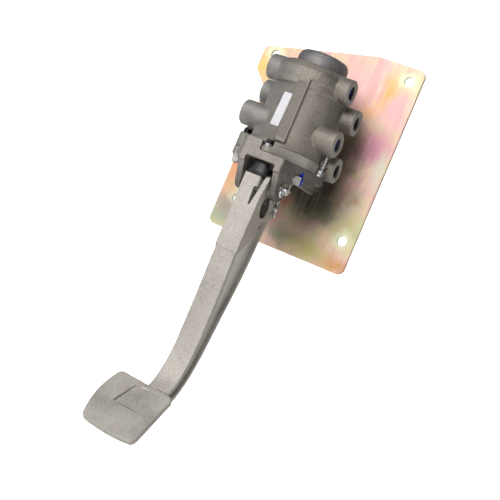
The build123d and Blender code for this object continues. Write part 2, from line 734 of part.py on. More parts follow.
front_inner = [(y + flange_thickness, z) for y, z in front_curve]
web_front = [(y + 3, z) for y, z in front_curve]
pedal_arm = across(strip(front_curve, front_inner), -flange_width / 2, flange_width / 2)
pedal_arm += across(strip(rear_curve, rear_inner), -rear_flange_width / 2, rear_flange_width / 2)
web_front_edge = Spline(*web_front)
web_rear_edge = Spline(*[(y - 1, z) for y, z in rear_curve[1:-1]], rear_curve[-1])
web_face = make_face(
    [
        web_front_edge,
        Line(web_front_edge @ 1, web_rear_edge @ 1),
        web_rear_edge,
        Line(web_rear_edge @ 0, web_front_edge @ 0),
    ]
)
pedal_arm += across(Plane.YZ * web_face, -web_thickness / 2, web_thickness / 2)
cheek_profile = side_face(
    (arm_front_y, arm_top),
    (pivot_y - 6, arm_top),
    (pivot_y + 12, pivot_z - 3),
    (valve_y + 3, roller_z + 8.5),
    (valve_y + 13, roller_z + 4),
    (valve_y + 13.5, roller_z - 8),
    (-84, -109),
    (-100, -114),
    (-112, -140),
    (-128, -158),
    (arm_front_y + 1, -158),
)
head_web = side_face((-77, -107), (-120, -107), (-130, -130), (-128, -165), (-80, -165))
pedal_arm += across(head_web, -web_thickness / 2, web_thickness / 2)
cheek_face = fillet(cheek_profile.vertices().filter_by(lambda corner: corner.Y > -130 and corner.Z > -130), 3.0)
arm_half = arm_width / 2
for x_side in (-1, 1):
    inner = min(x_side * arm_half, x_side * (arm_half - arm_cheek))
    pedal_arm += across(cheek_face, inner, inner + arm_cheek)
head_flange_height = arm_top - arm_head_bottom + 8
pedal_arm += Pos(0, arm_front_y, arm_top) * Box(
    arm_width, flange_thickness, head_flange_height, align=(Align.CENTER, Align.MIN, Align.MAX)
)
tine_face = make_face(
    Polyline(
        (arm_half - past_face, tine_foot_z),
        (arm_half, tine_foot_z),
        (tine_reach, arm_top),
        (arm_half - past_face, arm_top),
        close=True,
    )
)
pedal_arm += Pos(0, arm_front_y, 0) * extrude(Plane.XZ * tine_face, amount=-tine_depth)
hub_reach = opening_half - 0.5
pedal_arm += rod(hub_radius, (-hub_reach, pivot_y, pivot_z), (1, 0, 0), 2 * hub_reach)
lug_top = bumper_bottom - rest_gap
slot_step_z = lug_top - lug_height
slot_front = arm_front_y - past_face
slot_depth = pivot_y - hub_radius - rest_gap - slot_front
slot_face = make_face(
    Polyline(
        (slot_left, slot_step_z),
        (slot_point_x, slot_point_z),
        (slot_right, arm_top + past_face),
        (lug_right - lug_round, arm_top + past_face),
        (lug_right - lug_round, slot_step_z),
        close=True,
    )
)
pedal_arm -= Pos(0, slot_front, 0) * extrude(Plane.XZ * slot_face, amount=-slot_depth)
stop_lug = Pos(lug_left, arm_front_y, lug_top) * Box(
    lug_right - lug_left, lug_depth, lug_height, align=(Align.MIN, Align.MIN, Align.MAX)
)
pedal_arm += fillet(stop_lug.edges().filter_by(Axis.Z).group_by(Axis.X)[-1].sort_by(Axis.Y)[0], lug_round)
bumper_room = Pos(bumper_x + bumper_half_width + soft_clearance, slot_front, lug_top) * Box(
    arm_width, bumper_room_y - slot_front, lug_height, align=(Align.MAX, Align.MIN, Align.MIN)
)
pedal_arm -= bumper_room
roller_room = roller_width + 2 * roller_side_gap
pedal_arm -= rod(roller_radius + roller_gap, (-roller_room / 2, valve_y, roller_z), (1, 0, 0), roller_room)
cheek_hole_face = SlotOverall(cheek_hole_length, cheek_hole_width, rotation=cheek_hole_slant)
cheek_hole = Plane.YZ * Pos(cheek_hole_y, cheek_hole_z) * cheek_hole_face
cut_half = arm_half + past_face
pedal_arm -= Pos(-cut_half, 0, 0) * extrude(cheek_hole, amount=2 * cut_half, dir=(1, 0, 0))
roller_pin_hole = roller_pin_radius + thread_clearance
pedal_arm -= rod(roller_pin_hole, (-cut_half, valve_y, roller_z), (1, 0, 0), 2 * cut_half)
hub_cut = hub_reach + past_face
pedal_arm -= rod(pin_radius + bush_wall, (-hub_cut, pivot_y, pivot_z), (1, 0, 0), 2 * hub_cut)

# Pad of the casting
pad_sine = sin(radians(pad_tilt))
pad_plane = Plane(origin=(0, pad_top_y, pad_top_z), x_dir=(1, 0, 0), z_dir=(0, -pad_sine, pad_sine))
pad_low = -pad_length
pad_outline = make_face(
    [
        Line((pad_left, 2.5), (pad_right, -2.5)),
        Line((pad_right, -2.5), (pad_right - 1, pad_low)),
        ThreePointArc((pad_right - 1, pad_low), (-15, pad_low - 1.2), (pad_left + 3, pad_low + 4)),
        ThreePointArc((pad_left + 3, pad_low + 4), (pad_left - pad_bulge, -36), (pad_left, 2.5)),
    ]
)
pad_outline = fillet(pad_outline.vertices(), pad_corner)
pad = pad_plane * extrude(pad_outline, amount=-pad_thickness)
pocket_corners = [(-25.6, -6.9), (-4.9, -6.4), (1.8, -42.5), (-33.9, -39.4)]
pocket = extrude(make_face(Polyline(*pocket_corners, close=True)), amount=12, both=True)
hinge_start = Vector(*pocket_corners[1])
hinge_line = Vector(*pocket_corners[2]) - hinge_start
hinge_angle = degrees(atan2(hinge_line.Y, hinge_line.X))
pocket &= Pos(hinge_start.X, hinge_start.Y, 0) * Rot(0, 0, hinge_angle) * Rot(pocket_slope, 0, 0) * Box(
    200, 200, 30, align=(Align.CENTER, Align.CENTER, Align.MIN)
)
pedal_arm += pad
pedal_arm -= pad_plane * pocket

# Bushings of the arm hub
bushings = []
for x_side in (-1, 1):
    start = (x_side * (hub_reach - bush_length), pivot_y, pivot_z)
    bush = tube(pin_radius + bush_wall, pin_radius + running_clearance, start, (x_side, 0, 0), bush_length)
    bushings.append(bush)
save(Compound(bushings), "arm_bushings")

# Roller on its pin, with a clip that keeps the pin in the fork
roller = tube(
    roller_radius,
    roller_pin_radius + running_clearance,
    (-roller_width / 2, valve_y, roller_z),
    (1, 0, 0),
    roller_width,
)
roller = chamfer(roller.edges().filter_by(GeomType.CIRCLE).group_by(SortBy.RADIUS)[-1], 0.6)
save(roller, "roller")
roller_pin_left = -arm_half - 2.5
roller_pin_right = arm_half + 4.0
roller_pin = rod(roller_pin_radius, (-arm_half, valve_y, roller_z), (1, 0, 0), arm_half + roller_pin_right)
roller_pin = chamfer(roller_pin.edges().group_by(Axis.X)[-1], 0.8)
roller_pin += rod(roller_pin_radius + 2, (roller_pin_left, valve_y, roller_z), (1, 0, 0), 2.5)
clip_x = arm_half + 2.0
roller_pin -= rod(1.3, (clip_x, valve_y, roller_z + 10), (0, 0, -1), 20.0)
save(roller_pin, "roller_pin")
save(cotter(clip_x, valve_y, roller_z, roller_pin_radius, roller_cotter_wire), "roller_cotter")

# Plunger with its foot on the roller
plunger_top = body_bottom + 1
foot_top_z = roller_z + roller_radius + rest_gap + foot_height
plunger = rod(plunger_radius, (0, valve_y, foot_top_z - foot_height), (0, 0, 1), plunger_top - foot_top_z + foot_height)
foot_disc = rod(foot_radius, (0, valve_y, foot_top_z - foot_height), (0, 0, 1), foot_height)
plunger += chamfer(foot_disc.edges().group_by(Axis.Z)[0], 0.8)
save(plunger, "plunger")

# Rubber bellows round the plunger and the ring that holds its rim
boot_wall = 1.6
lip_radius = plunger_radius + soft_clearance
bellows_folds = 3
fold_height = (deck_bottom - 4 - boot_bottom - 2) / bellows_folds
outer_points = [(lip_radius, boot_bottom), (lip_radius + 3, boot_bottom)]
inner_points = [(lip_radius, boot_bottom + 2)]
for fold in range(bellows_folds):
    low = boot_bottom + 2 + fold * fold_height
    outer_points += [(12.0, low), (15.0, low + fold_height / 2)]
    inner_points += [(12.0 - boot_wall, low + 0.4), (15.0 - boot_wall * 1.2, low + fold_height / 2)]
outer_points += [(12.5, deck_bottom - 4), (12.5, deck_bottom - 3), (boot_top_radius, deck_bottom - 3)]
outer_points += [(boot_top_radius, deck_bottom)]
inner_points += [(12.5 - boot_wall, deck_bottom - 3.4), (12.5 - boot_wall, deck_bottom)]
save(turned(*outer_points, *reversed(inner_points)), "plunger_boot")
boot_ring = turned(
    (boot_top_radius, deck_bottom - 3.8),
    (boot_ring_radius, deck_bottom - 3.8),
    (boot_ring_radius, deck_bottom),
    (boot_top_radius, deck_bottom),
)
boot_ring += turned(
    (14.0, deck_bottom - 3.8),
    (boot_top_radius, deck_bottom - 3.8),
    (boot_top_radius, deck_bottom - 3.0),
    (14.0, deck_bottom - 3.0),
)
save(boot_ring, "boot_ring")

# Primary piston with its ring, spring seat and rubber graduating spring
piston_radius = piston_bore_radius - 0.08
seat_plate_bottom = plunger_top
rubber_bottom = seat_plate_bottom + seat_plate_height
crown_bottom = rubber_bottom + rubber_height
crown_top = crown_bottom + piston_crown
stem_top = inlet_seat_top - exhaust_gap
skirt_bottom = body_bottom + 1
groove_depth = 2.4
ring_stand = 0.1
groove_bottom = skirt_bottom + 6
groove_height = 2.6
spring_inner = 17.0
spring_outer = 23.0
primary_piston = turned(
    (0, crown_bottom),
    (piston_radius - piston_skirt_wall, crown_bottom),
    (piston_radius - piston_skirt_wall, skirt_bottom),
    (piston_radius, skirt_bottom),
    (piston_radius, groove_bottom),
    (piston_radius - groove_depth, groove_bottom),
    (piston_radius - groove_depth, groove_bottom + groove_height),
    (piston_radius, groove_bottom + groove_height),
    (piston_radius, crown_top),
    (spring_outer, crown_top),
    (spring_outer, crown_top - 3),
    (spring_inner, crown_top - 3),
    (spring_inner, crown_top),
    (stem_radius, crown_top),
    (stem_radius, stem_top),
    (stem_radius - 1.5, stem_top),
    (stem_radius - 1.5, stem_top - 3),
    (0, stem_top - 3),
)
save(primary_piston, "primary_piston")


def sealing_ring(piston_edge, bottom):
    """A rubber ring that fills a piston groove and stops just short of the bore."""
    outer = piston_edge - ring_stand
    return turned(
        (piston_edge - groove_depth, bottom),
        (outer, bottom),
        (outer, bottom + groove_height),
        (piston_edge - groove_depth, bottom + groove_height),
    )


save(sealing_ring(piston_radius, groove_bottom), "primary_ring")
seat_plate = rod(20.5, (0, valve_y, seat_plate_bottom), (0, 0, 1), seat_plate_height)
save(chamfer(seat_plate.edges(), 0.5), "spring_seat")
rubber_spring = rod(rubber_radius, (0, valve_y, rubber_bottom), (0, 0, 1), rubber_height)
save(rubber_spring - rod(4.0, (0, valve_y, rubber_bottom), (0, 0, 1), rubber_height), "graduating_spring")
return_spring = coil((spring_inner + spring_outer) / 2, 2.0, crown_top - 3, inlet_seat_bottom, 2.5)
save(return_spring, "primary_return_spring")


def inlet_valve(seat, stem_end):
    """A disc with a sealing face on its seat and a hollow stem that guides it."""
    disc_top = seat + valve_disc_height
    return turned(
        (valve_stem_bore, seat),
        (valve_disc_radius, seat),
        (valve_disc_radius, disc_top),
        (valve_stem_radius, disc_top),
        (valve_stem_radius, stem_end),
        (valve_stem_bore, stem_end),
    )


def retainer(outer, bottom, top):
    """A spring retainer with a guide hole for the valve stem."""
    return turned(
        (valve_stem_radius + running_clearance, bottom),
        (outer, bottom),
        (outer, top),
        (valve_stem_radius + running_clearance, top),
    )


def snap_ring(bore, bottom):
    """An open ring sprung into its groove in the body."""
    ring = turned(
        (bore - 2.5, bottom),
        (bore + ring_groove_depth - 0.1, bottom),
        (bore + ring_groove_depth - 0.1, bottom + snap_ring_height),
        (bore - 2.5, bottom + snap_ring_height),
    )
    gap = Pos(0, valve_y - bore, bottom) * Box(9.0, 12.0, 4.0)
    return ring - gap


primary_stem_end = relay_bore_bottom + 6
save(inlet_valve(inlet_seat_top, primary_stem_end), "primary_valve")
primary_valve_spring = coil(valve_spring_radius, 1.6, inlet_seat_top + valve_disc_height, relay_bore_bottom, 4.0)
save(primary_valve_spring, "primary_valve_spring")
save(retainer(piston_radius, relay_bore_bottom, primary_stem_end), "primary_retainer")
save(snap_ring(piston_bore_radius, ring_heights[0][1]), "primary_snap_ring")

# Relay piston with its ring and spring
relay_bottom = primary_stem_end + 3
relay_top = relay_bottom + 8
second_insert_top = second_seat_z + 5
relay_stem_top = second_insert_top - exhaust_gap
relay_piston = turned(
    (valve_stem_bore, relay_bottom),
    (piston_radius, relay_bottom),
    (piston_radius, relay_bottom + 2.7),
    (piston_radius - groove_depth, relay_bottom + 2.7),
    (piston_radius - groove_depth, relay_bottom + 2.7 + groove_height),
    (piston_radius, relay_bottom + 2.7 + groove_height),
    (piston_radius, relay_top),
    (stem_radius, relay_top),
    (stem_radius, relay_stem_top),
    (valve_stem_bore, relay_stem_top),
)
save(relay_piston, "relay_piston")
save(sealing_ring(piston_radius, relay_bottom + 2.7), "relay_ring")
save(coil(spring_inner, 2.0, relay_top, second_seat_z, 3.5), "relay_spring")

# Secondary seat, valve, spring and retainer
second_insert_radius = second_bore_radius - running_clearance
second_insert = turned(
    (inlet_hole_radius, second_seat_z),
    (second_insert_radius, second_seat_z),
    (second_insert_radius, second_insert_top),
    (inlet_hole_radius, second_insert_top),
)
save(second_insert, "secondary_seat")
save(snap_ring(second_bore_radius, ring_heights[1][1]), "secondary_seat_ring")
save(inlet_valve(second_insert_top, cover_bore_z + 6), "secondary_valve")
secondary_disc_top = second_insert_top + valve_disc_height
save(coil(valve_spring_radius, 1.6, secondary_disc_top, cover_bore_z, 4.0), "secondary_valve_spring")
save(retainer(cover_bore_radius - running_clearance, cover_bore_z, cover_bore_z + 6), "secondary_retainer")
save(snap_ring(cover_bore_radius, ring_heights[2][1]), "secondary_snap_ring")

# Stop screw and its locknut in the arm's rear flange
stop_screw_z = -116.0
stop_screw_radius = 3.0
stop_flats = 10.0
stop_inner_y = -76.6
stop_outer_y = -70.6
stop_reach = 12.0
stop_head = hexagon(stop_flats, (0, stop_inner_y, stop_screw_z), (0, -1, 0), 4.0)
stop_screw = stop_head + rod(stop_screw_radius, (0, stop_inner_y, stop_screw_z), (0, 1, 0), stop_reach + 6)
stop_nut = hexagon(stop_flats, (0, stop_outer_y, stop_screw_z), (0, 1, 0), 5.0)
stop_thread_radius = stop_screw_radius + thread_clearance
stop_nut -= rod(stop_thread_radius, (0, stop_outer_y, stop_screw_z), (0, 1, 0), stop_reach)
pedal_arm -= rod(stop_thread_radius, (0, stop_inner_y - past_face, stop_screw_z), (0, 1, 0), stop_reach)
for seat_y, out in ((stop_inner_y, -1), (stop_outer_y, 1)):
    pedal_arm -= rod(stop_flats * 0.7, (0, seat_y, stop_screw_z), (0, out, 0), 4.0)
save(stop_screw, "stop_screw")
save(stop_nut, "stop_nut")
save(pedal_arm, "pedal_arm")
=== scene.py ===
# %% [markdown]
# # Dressing a suspended brake valve
#
# The real object is a foot pedal that hangs under a cast air valve. The valve
# sits on a bracket, and the bracket is screwed to a flat plated sheet.
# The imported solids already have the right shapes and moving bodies, so this
# lesson loads them first and measures everything else from them.

import json
import math

import bmesh
import bpy
from mathutils import Matrix, Vector

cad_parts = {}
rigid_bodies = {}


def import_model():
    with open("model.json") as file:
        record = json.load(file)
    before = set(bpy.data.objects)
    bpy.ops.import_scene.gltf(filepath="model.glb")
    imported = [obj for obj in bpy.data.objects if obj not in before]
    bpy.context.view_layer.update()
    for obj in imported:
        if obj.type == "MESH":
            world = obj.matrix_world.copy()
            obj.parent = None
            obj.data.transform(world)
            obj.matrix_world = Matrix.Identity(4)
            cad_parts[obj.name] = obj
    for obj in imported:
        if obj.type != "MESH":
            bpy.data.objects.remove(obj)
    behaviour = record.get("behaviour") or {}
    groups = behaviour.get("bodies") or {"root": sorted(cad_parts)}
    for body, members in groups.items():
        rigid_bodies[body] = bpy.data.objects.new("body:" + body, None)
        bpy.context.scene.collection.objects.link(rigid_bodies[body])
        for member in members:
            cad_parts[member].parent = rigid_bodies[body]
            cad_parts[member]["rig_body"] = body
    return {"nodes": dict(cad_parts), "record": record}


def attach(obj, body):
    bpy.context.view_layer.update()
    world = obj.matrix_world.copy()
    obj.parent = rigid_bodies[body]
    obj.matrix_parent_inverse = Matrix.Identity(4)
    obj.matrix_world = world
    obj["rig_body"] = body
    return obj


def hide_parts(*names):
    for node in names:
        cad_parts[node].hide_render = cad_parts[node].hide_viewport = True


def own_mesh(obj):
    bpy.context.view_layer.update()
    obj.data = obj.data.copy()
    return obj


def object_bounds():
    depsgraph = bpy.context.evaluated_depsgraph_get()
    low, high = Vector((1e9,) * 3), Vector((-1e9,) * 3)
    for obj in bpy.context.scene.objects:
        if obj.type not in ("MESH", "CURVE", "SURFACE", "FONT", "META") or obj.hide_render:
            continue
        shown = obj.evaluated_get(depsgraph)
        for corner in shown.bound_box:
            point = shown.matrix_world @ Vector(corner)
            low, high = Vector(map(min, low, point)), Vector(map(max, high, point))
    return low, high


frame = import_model()
solid_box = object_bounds()
nodes = frame["nodes"]

# %% [markdown]
# ## The camera
#
# The photographer stood to the driver's right of the pedal, almost level with
# it, and the picture is rolled so that the plate leans. The place and the lens
# were worked out from the plate's corners and holes, so the camera is built
# from an azimuth, an elevation, a roll and one point.

# %% Place the camera
CAMERA_PLACE = Vector((0.5712, -1.4485, -0.1634))
CAMERA_AZIMUTH = math.radians(22.45)
CAMERA_ELEVATION = math.radians(-0.589)
CAMERA_ROLL = math.radians(23.07)
LENS_MM = 90.2
SENSOR_MM = 36.0
NEAREST_SEEN = 0.05
FARTHEST_SEEN = 20.0


def camera_axes(azimuth, elevation, roll):
    """Right, up and back of a camera that looks from an azimuth and is rolled."""
    flat = Vector((-math.sin(azimuth), math.cos(azimuth), 0))
    ahead = flat * math.cos(elevation) - Vector((0, 0, math.sin(elevation)))
    level = Vector((math.cos(azimuth), math.sin(azimuth), 0))
    above = level.cross(ahead)
    right = math.cos(roll) * level + math.sin(roll) * above
    up = math.cos(roll) * above - math.sin(roll) * level
    return right, up, -ahead


camera_data = bpy.data.cameras.new("photo_camera")
camera_data.lens = LENS_MM
camera_data.sensor_width = SENSOR_MM
camera_data.clip_start = NEAREST_SEEN
camera_data.clip_end = FARTHEST_SEEN
camera = bpy.data.objects.new("photo_camera", camera_data)
bpy.context.scene.collection.objects.link(camera)
right, up, back = camera_axes(CAMERA_AZIMUTH, CAMERA_ELEVATION, CAMERA_ROLL)
camera_turn = Matrix((right, up, back)).transposed().to_4x4()
camera.matrix_world = Matrix.Translation(CAMERA_PLACE) @ camera_turn
bpy.context.scene.camera = camera
print("camera looks along", [round(-c, 3) for c in back])

# %% [markdown]
# ## A small kit for meshes and materials
#
# Pieces are made in mesh code and stay at the origin, so that a point in a mesh
# is a point of the frame. Every finish is a tree of nodes. One function turns a
# hex colour from sRGB to linear, and one adds a node with its settings and its
# links. Sizes in patterns are written in millimetres and turned into metres in
# one place.

# %% Mesh helpers
def smooth(mesh):
    for face in mesh.polygons:
        face.use_smooth = True


def object_from(bm, name):
    """Turns a bmesh into an object at the origin."""
    mesh = bpy.data.meshes.new(name)
    bm.to_mesh(mesh)
    bm.free()
    made = bpy.data.objects.new(name, mesh)
    bpy.context.scene.collection.objects.link(made)
    return made


def merged_copy(node_name, name):
    """A copy of a solid whose doubled corners are merged, so that it can be worked on."""
    bm = bmesh.new()
    bm.from_mesh(nodes[node_name].data)
    bmesh.ops.remove_doubles(bm, verts=bm.verts, dist=1e-6)
    return object_from(bm, name)


def join_object(made, finish, body):
    """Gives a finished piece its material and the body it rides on."""
    made.data.materials.clear()
    made.data.materials.append(finish)
    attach(made, body)
    print(made.name, len(made.data.polygons), "faces")


# %% Colour and node helpers
def colour(hex_text):
    """The linear RGBA of an sRGB hex colour."""
    values = [int(hex_text[i : i + 2], 16) / 255 for i in (1, 3, 5)]
    linear = [v / 12.92 if v <= 0.04045 else ((v + 0.055) / 1.055) ** 2.4 for v in values]
    return (*linear, 1.0)


def metres(*values_mm):
    return tuple(v / 1000 for v in values_mm)


def add(tree, kind, settings=None, **inputs):
    """Adds a node. An input is a value or a socket to link, by its name or as n0, n1 and so on."""
    node = tree.nodes.new(kind)
    for key, value in (settings or {}).items():
        setattr(node, key, value)
    for key, value in inputs.items():
        numbered = key[0] == "n" and key[1:].isdigit()
        socket = node.inputs[int(key[1:])] if numbered else node.inputs[key.replace("_", " ")]
        if isinstance(value, bpy.types.NodeSocket):
            tree.links.new(value, socket)
        else:
            socket.default_value = value
    return node


def start(name, metallic, roughness):
    """A new material with its tree, its shader and its object coordinates."""
    material = bpy.data.materials.new(name)
    material.use_nodes = True
    tree = material.node_tree
    shader = tree.nodes["Principled BSDF"]
    shader.inputs["Metallic"].default_value = metallic
    shader.inputs["Roughness"].default_value = roughness
    place = tree.nodes.new("ShaderNodeTexCoord").outputs["Object"]
    return material, tree, shader, place


def ramp(tree, factor, stops):
    """A colour ramp from (position, hex) stops."""
    node = add(tree, "ShaderNodeValToRGB", None, Fac=factor)
    while len(node.color_ramp.elements) < len(stops):
        node.color_ramp.elements.new(1.0)
    for element, (position, hex_text) in zip(node.color_ramp.elements, stops):
        element.position = position
        element.color = colour(hex_text)
    return node.outputs["Color"]


def noise(tree, place, feature_mm, detail, rough=0.55, stretch=None):
    """A noise whose blotches are about feature_mm wide, stretched along an axis if asked."""
    if stretch:
        place = add(tree, "ShaderNodeMapping", None, Vector=place, Scale=stretch).outputs[0]
    settings = {"Vector": place, "Scale": 500 / feature_mm, "Detail": detail, "Roughness": rough}
    return add(tree, "ShaderNodeTexNoise", None, **settings).outputs[0]


def span(tree, value, low, high, to_low, to_high):
    """A value mapped from one range to another, held at both ends."""
    node = add(tree, "ShaderNodeMapRange", None, Value=value)
    limits = {"From Min": low, "From Max": high, "To Min": to_low, "To Max": to_high}
    for key, number in limits.items():
        node.inputs[key].default_value = number
    return node.outputs[0]


def blend_colours(tree, factor, first, second):
    """The second colour laid over the first as far as the factor says."""
    mix = add(tree, "ShaderNodeMix", {"data_type": "RGBA"}, n0=factor, n6=first, n7=second)
    return mix.outputs[2]


def blend_values(tree, factor, first, second):
    mix = add(tree, "ShaderNodeMix", {"data_type": "FLOAT"}, n0=factor, n2=first, n3=second)
    return mix.outputs[0]


def calculate(tree, operation, first, second):
    return add(tree, "ShaderNodeMath", {"operation": operation}, n0=first, n1=second).outputs[0]


def lay(tree, tint, patch, strength, hex_text):
    """A colour laid over a tint where a patch is 1, as strongly as asked."""
    return blend_colours(tree, calculate(tree, "MULTIPLY", patch, strength), tint, colour(hex_text))


def split(tree, vector):
    """The sockets of a vector's three coordinates."""
    return add(tree, "ShaderNodeSeparateXYZ", None, Vector=vector).outputs


def size_of(tree, value):
    return calculate(tree, "ABSOLUTE", value, 0.0)


def local(tree, place, centre_mm, half_mm):
    """Coordinates that are 0 at a centre and 1 at half a size away from it."""
    settings = {"vector_type": "TEXTURE"}
    reach = {"Location": metres(*centre_mm), "Scale": metres(*half_mm)}
    return add(tree, "ShaderNodeMapping", settings, Vector=place, **reach).outputs[0]


def round_patch(tree, place, centre_mm, half_mm, core=0.35):
    """1 inside an ellipsoid, falling softly to 0 at its edge."""
    away = local(tree, place, centre_mm, half_mm)
    length = add(tree, "ShaderNodeVectorMath", {"operation": "LENGTH"}, n0=away).outputs["Value"]
    return span(tree, length, core, 1.0, 1.0, 0.0)


def box_patch(tree, place, centre_mm, half_mm, core=0.95):
    """1 inside a box and 0 outside it."""
    away = local(tree, place, centre_mm, half_mm)
    x, y, z = split(tree, folded_over(tree, away))
    farthest = calculate(tree, "MAXIMUM", calculate(tree, "MAXIMUM", x, y), z)
    return span(tree, farthest, core, 1.0, 1.0, 0.0)


def folded_over(tree, place):
    """Coordinates without their signs, so that one patch serves both sides."""
    return add(tree, "ShaderNodeVectorMath", {"operation": "ABSOLUTE"}, n0=place).outputs[0]


def bumped(tree, shader, heights):
    """Chains bumps of (height socket, strength, depth in mm) and links the last one."""
    normal = None
    for height, strength, depth_mm in heights:
        reach = {"Strength": strength, "Distance": depth_mm / 1000}
        node = add(tree, "ShaderNodeBump", None, Height=height, **reach)
        if normal:
            tree.links.new(normal, node.inputs["Normal"])
        normal = node.outputs[0]
    tree.links.new(normal, shader.inputs["Normal"])


# %% [markdown]
# ## Floor and light
#
# A product is photographed in a white sweep, so the floor here is one pale
# sheet that curves up behind the plate. It is burnt out to pure white in the
# picture, yet it hardly lights the object, so it glows for the picture and
# only a quarter as much for the light that it throws back. Large soft lights
# stand in front, high and on the left, because the highlights lie there and
# every side that faces right falls into shade.

# %% Bend the sweep
FLOOR_Z = solid_box[0][2] - 0.06
SWEEP_BACK = 1.5
SWEEP_RADIUS = 0.7
SWEEP_HALF_WIDTH = 5
SWEEP_HALF_LENGTH = 3
SWEEP_WALL = 3
GLOW_IN_PICTURE = 1.0
GLOW_ON_OBJECT = 0.25
bm = bmesh.new()
bmesh.ops.create_grid(bm, x_segments=1, y_segments=1, size=1)
stretch = Matrix.Diagonal((SWEEP_HALF_WIDTH, SWEEP_HALF_LENGTH, 1, 1))
bmesh.ops.transform(bm, matrix=stretch, verts=bm.verts)
bmesh.ops.translate(bm, vec=(0, SWEEP_BACK - SWEEP_HALF_LENGTH, FLOOR_Z), verts=bm.verts)
rear = [e for e in bm.edges if all(v.co.y > SWEEP_BACK - 0.01 for v in e.verts)]
bmesh.ops.spin(
    bm,
    geom=rear,
    cent=(0, SWEEP_BACK, FLOOR_Z + SWEEP_RADIUS),
    axis=(1, 0, 0),
    angle=math.radians(90),
    steps=16,
    use_duplicate=False,
)
curve_end = SWEEP_BACK + SWEEP_RADIUS - 0.001
top = [e for e in bm.edges if all(v.co.y > curve_end for v in e.verts)]
wall = bmesh.ops.extrude_edge_only(bm, edges=top)
raised = [v for v in wall["geom"] if isinstance(v, bmesh.types.BMVert)]
bmesh.ops.translate(bm, vec=(0, 0, SWEEP_WALL), verts=raised)
bmesh.ops.recalc_face_normals(bm, faces=bm.faces)
sweep = object_from(bm, "studio_sweep")
smooth(sweep.data)
paper, tree, shader, place = start("white_sweep_paper", 0.0, 0.9)
shader.inputs["Base Color"].default_value = colour("#f4f4f4")
shader.inputs["Emission Color"].default_value = (1, 1, 1, 1)
seen = tree.nodes.new("ShaderNodeLightPath").outputs["Is Camera Ray"]
glow = span(tree, seen, 0.0, 1.0, GLOW_ON_OBJECT, GLOW_IN_PICTURE)
tree.links.new(glow, shader.inputs["Emission Strength"])
sweep.data.materials.append(paper)
print("sweep floor at", round(FLOOR_Z, 3))


# %% Hang the lights
LIT_POINT = (0, -0.08, -0.1)
PEDAL_POINT = (0, -0.1, -0.3)
# Name, place, the point it shines on, diameter in metres, power in watts
LIGHTS = [
    ("key_light", (-0.15, -1.7, 0.75), LIT_POINT, 1.0, 26),
    ("left_light", (-1.5, -0.9, 0.4), LIT_POINT, 1.2, 6),
    ("low_right_light", (1.2, -0.7, -0.5), PEDAL_POINT, 1.0, 2.5),
    ("top_light", (-0.2, -0.3, 1.5), LIT_POINT, 1.2, 3.5),
]
AIR_IN_PICTURE = 1.0
AIR_ON_OBJECT = 0.14


def area_light(name, place, target, size, power):
    data = bpy.data.lights.new(name, "AREA")
    data.shape = "DISK"
    data.size = size
    data.energy = power
    light = bpy.data.objects.new(name, data)
    light.location = place
    ray = Vector(target) - Vector(place)
    light.rotation_euler = ray.to_track_quat("-Z", "Y").to_euler()
    bpy.context.scene.collection.objects.link(light)


for row in LIGHTS:
    area_light(*row)
world = bpy.data.worlds.new("studio_air")
world.use_nodes = True
air = world.node_tree
seen = air.nodes.new("ShaderNodeLightPath").outputs["Is Camera Ray"]
air.nodes["Background"].inputs["Color"].default_value = (1, 1, 1, 1)
glow = span(air, seen, 0.0, 1.0, AIR_ON_OBJECT, AIR_IN_PICTURE)
air.links.new(glow, air.nodes["Background"].inputs["Strength"])
bpy.context.scene.world = world
bpy.context.scene.view_settings.view_transform = "Standard"

# %% [markdown]
# ## Sand-cast aluminium
#
# The valve body, its bracket and the pedal are aluminium castings. Blasting
# leaves an even matte grain about 0.4 mm wide, and handling darkens it in soft
# patches. The grain is drawn at 0.9 mm here, because a finer one would vanish
# in a picture where a pixel covers 1.2 mm. Each casting has a place of its own
# to add: the body has cut pipe mouths and a sunken panel on its rib, darkened
# as painted shade, the bracket carries a stripe of blue marking paint and
# painted shade beside its deck and on its ears, and the pedal has painted light
# on the sideways faces of its web and painted shade inside the hole through its
# cheeks.

# %% Cast finishes
GRAIN_MM = 0.9
PATCH_MM = 16.0
PIT_MM = 2.2
PAINT_BLUE = "#1c3fc4"

# Places on the castings, each as a centre and half sizes
FLANGE_BAND = ((30, -120, -32.5), (29, 30, 7.0))
SHADED_RIB_PANEL = ((5.75, -130.0, 18), (5.4, 2.0, 36))
LONG_MOUTHS = ((63.5, 82, 10), (1.0, 40, 80))
UPPER_MOUTHS = ((54.3, 97, 66), (0.8, 16, 14))
ARM_WEB_LIGHT = ((0, -106, -250), (5.0, 80, 140))
CHEEK_HOLE_SHADE = ((0, -109, -97), (60, 15, 15))
PAINTED_SHOULDER = ((46, -116, -53), (10, 10, 9.5))

# The paint stripe is the slab round one plane, in metres from the origin
STRIPE_NORMAL = (0.555, 0.832, 0.05)
STRIPE_OFFSET = -0.0753


def cast_grain(name, dark, middle, light, roughness, depth):
    """The blasted surface that all castings share, and the sockets that a casting builds on."""
    material, tree, shader, place = start(name, 1.0, roughness)
    patches = noise(tree, place, PATCH_MM, 4.0, 0.6)
    grain = noise(tree, place, GRAIN_MM, 2.0)
    pits = span(tree, noise(tree, place, PIT_MM, 1.0), 0.64, 0.72, 0.0, 1.0)
    mixed = blend_values(tree, 0.42, patches, grain)
    tint = ramp(tree, mixed, [(0.33, dark), (0.5, middle), (0.68, light)])
    tint = lay(tree, tint, pits, 0.35, dark)
    uneven = span(tree, patches, 0.3, 0.7, roughness - 0.06, roughness + 0.08)
    tree.links.new(uneven, shader.inputs["Roughness"])
    bumps = [(grain, depth, 0.4), (pits, 0.25, -0.2)]
    return material, tree, shader, place, tint, bumps


def finish_cast(parts, tint, bumps):
    material, tree, shader = parts
    tree.links.new(tint, shader.inputs["Base Color"])
    bumped(tree, shader, bumps)
    return material


